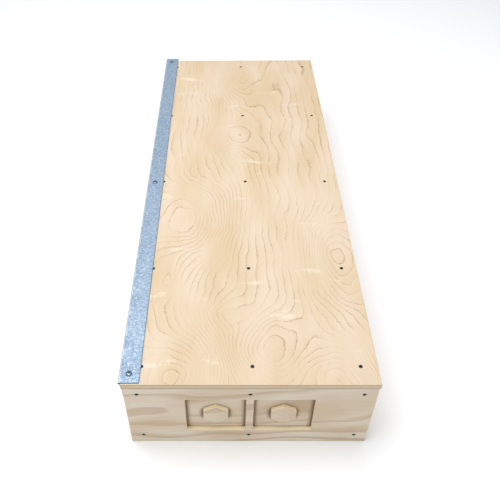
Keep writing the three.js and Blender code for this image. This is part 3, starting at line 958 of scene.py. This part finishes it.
# %% Drive the wood screws, one mesh for each body
for body, places in SCREW_PLACES.items():
    template = wood_screw(SCREW_LENGTHS[body])
    screws = drive(f"{body}_wood_screws", template, places, WOOD_SCREW_METAL)
    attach(screws, body)
    bpy.data.objects.remove(template)
    print(screws.name, len(places), "screws,", len(screws.data.polygons), "faces")

# %% [markdown]
# ## The hinge
# The two leaves and the pin keep their own shape and get the spangled finish. Their screws have
# broad truss heads, which deserve a finer dome and a real recess, so each set of three is driven
# again with a better head and stands for the three plain ones.

# %% Hinge leaves, pin and screws
for name in ("hinge_leaf_lid", "hinge_leaf_side", "hinge_pin"):
    leaf = frame["nodes"][name]
    leaf.data.materials.clear()
    leaf.data.materials.append(zinc(name + "_zinc", *box_of(name)))

TRUSS_RADIUS = 0.0060
TRUSS_RISE = 0.0024
TRUSS_SHANK = 0.0019
TRUSS_LENGTH = 0.012
TRUSS_STEPS = 7
TRUSS_CROSS = (0.0036, 0.0017, 0.0020)  # half width, arm width, depth


def truss_screw(length):
    """A broad domed head with its crown at the origin, on a plain shank."""
    dome = [(TRUSS_RADIUS * math.sin(a), TRUSS_RISE * (math.cos(a) - 1))
            for a in (math.pi / 2 * i / TRUSS_STEPS for i in range(TRUSS_STEPS + 1))]
    end = -TRUSS_RISE - length
    shank = [(TRUSS_SHANK, -TRUSS_RISE), (TRUSS_SHANK, end + 2 * TRUSS_SHANK), (0, end)]
    screw = turned("truss", dome + shank)
    cross = cross_cutter(*TRUSS_CROSS, 0.0)
    carve(screw, cross)
    bpy.data.objects.remove(cross)
    return screw


lid_heads = [f"lid_hinge_screw_{i}" for i in range(1, 4)]
wall_heads = [f"wall_hinge_screw_{i}" for i in range(1, 4)]
lid_crowns = [((middle(name).x, middle(name).y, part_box(name)[1][2]), UP) for name in lid_heads]
wall_crowns = [((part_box(name)[0][0], middle(name).y, middle(name).z), (-1, 0, 0)) for name in wall_heads]
SETS = (("lid_hinge_screws", lid_heads, lid_crowns), ("wall_hinge_screws", wall_heads, wall_crowns))
for title, names, crowns in SETS:
    template = truss_screw(TRUSS_LENGTH)
    finish_piece(drive(title, template, crowns, HINGE_SCREW_METAL), names, HINGE_SCREW_METAL)
    bpy.data.objects.remove(template)
    print(title, len(crowns), "screws")

# %% [markdown]
# ## Entrance plugs
# The two plugs are turned from a wooden dowel. Their grain runs along the axis they were turned on,
# and growth rings show on the head. They are lathe work, so the design's shape is replaced by a
# finer turning of much the same profile, with rounded shoulders.

# %% Turned plugs
PLUG_PALE = colour(206, 170, 122)
PLUG_WARM = colour(176, 134, 86)
PLUG_SIDES = 64
STEM_RADIUS = 0.0109
STEM_LEAD = 0.004  # the taper at the stem's inner end
HEAD_GAP = 0.0006  # between the wall and the back of the head
BACK_EDGE = 0.0012
FRONT_ROUND = 0.0025
DIMPLE = (0.006, 0.005, 0.0006)  # outer radius, inner radius, depth


def plug_material():
    material, tree, shader, place, _ = start_material("turned_plug_wood")
    fibres = place_group(tree, FIBRES, Vector=place, Fineness=500.0)
    rings = place_group(tree, RINGS, Vector=place, Pith=(0.0, 0.02, 0.01), Spacing=0.002, Wander=0.004,
                        Sweep=0.16)
    base = blend(tree, smooth(tree, fibres.outputs["Streaks"], 0.35, 0.65), PLUG_PALE, PLUG_WARM)
    ringed = blend(tree, calc(tree, "MULTIPLY", rings.outputs["Latewood"], 0.5), base, PLUG_WARM)
    tree.links.new(ringed, shader.inputs["Base Color"])
    tree.links.new(smooth(tree, rings.outputs["Tone"], 0.3, 0.7, 0.5, 0.65), shader.inputs["Roughness"])
    raised = {"Height": fibres.outputs["Height"], "Strength": 0.3, "Distance": 0.0002}
    bump = node(tree, "ShaderNodeBump", raised)
    tree.links.new(bump.outputs[0], shader.inputs["Normal"])
    return material


def round_shoulder(side, radius, height, steps=5):
    """A quarter round from the side of a turning to its face."""
    return [(side - radius + radius * math.cos(a), height - radius + radius * math.sin(a))
            for a in (math.pi / 2 * i / steps for i in range(steps + 1))]


PLUG_WOOD = plug_material()
wall_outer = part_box("side_wall_right")[1][0]
for i in (1, 2):
    name = f"entrance_plug_{i}"
    low, high = (Vector(corner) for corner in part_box(name))
    head = (high.y - low.y) / 2
    seat = wall_outer - low.x + HEAD_GAP
    tall = high.x - low.x
    outer, inner, sunk = DIMPLE
    profile = [(0, 0), (STEM_RADIUS - MM, 0), (STEM_RADIUS, STEM_LEAD), (STEM_RADIUS, seat)]
    profile += [(head - BACK_EDGE, seat), (head, seat + BACK_EDGE)] + round_shoulder(head, FRONT_ROUND, tall)
    profile += [(outer, tall), (inner, tall - sunk), (0, tall - sunk)]
    plug = turned(name + "_turned", profile, PLUG_SIDES)
    plug.data.transform(Matrix.Translation((low.x, (low.y + high.y) / 2, (low.z + high.z) / 2))
                        @ Matrix.Rotation(math.pi / 2, 4, "Y"))
    finish_piece(plug, [name], PLUG_WOOD)
    print(name, "head", round(2 * head / MM, 1), "mm")
